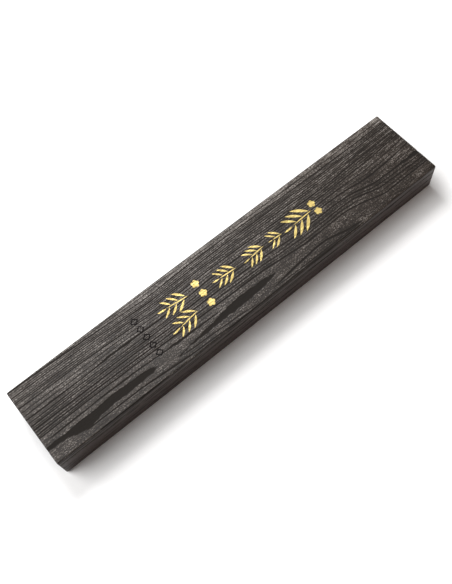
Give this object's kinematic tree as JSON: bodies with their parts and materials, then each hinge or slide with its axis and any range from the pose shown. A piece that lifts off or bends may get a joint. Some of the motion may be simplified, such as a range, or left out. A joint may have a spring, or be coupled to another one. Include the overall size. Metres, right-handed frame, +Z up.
{
  "type": "ink stick in a lidded presentation box",
  "caption": "Long slim lidded gift box in dark wood-grain paper with gold stamped sprigs, holding an ink stick in a cloth-covered cradle.",
  "frame": {"origin": "on the surface that the tray stands on, under the middle of the closed box", "axes": "+X along the box's length, +Y towards its far long side, +Z up through the lid"},
  "size_m": [0.3, 0.0548, 0.0233],
  "materials": {
    "greyboard": "matte recycled board",
    "kraft_tape": "matte gummed kraft paper",
    "grain_paper": "wood-grain embossed, speckled matte ridges and glossy grooves",
    "lining_paper": "matte laid paper",
    "gold_foil": "pale gold hot-stamped foil",
    "black_foil": "satin black pressed foil",
    "white_card": "matte card",
    "foam": "open-cell foam",
    "cradle_cloth": "fine satin-weave cloth",
    "pressed_ink": "moulded soot and glue, low sheen",
    "gilding": "brushed-on gold powder"
  },
  "bodies": {
    "tray": {"tray_board": "greyboard", "tray_corner_stays": "kraft_tape", "tray_wrap": "grain_paper", "tray_liner": "lining_paper", "cradle_card": "white_card", "cradle_foam": "foam", "cradle_cover": "cradle_cloth"},
    "lid": {"lid_board": "greyboard", "lid_corner_stays": "kraft_tape", "lid_wrap": "grain_paper", "lid_liner": "lining_paper", "foil_sprigs": "gold_foil", "foil_blossoms": "gold_foil", "pressed_lozenges": "black_foil"},
    "stick": {"ink_stick": "pressed_ink", "stick_gilding": "gilding"}
  },
  "joints": [
    {"name": "lid_lift", "type": "slide", "parent": "tray", "child": "lid", "axis": [0, 0, 1], "range_m": [0, 0.11]},
    {"name": "stick_lift", "type": "slide", "parent": "tray", "child": "stick", "axis": [0, 0, 1], "range_m": [0, 0.044]}
  ],
  "couplings": [
    {"joint": "stick_lift", "follows": "lid_lift", "ratio": 0.4}
  ]
}
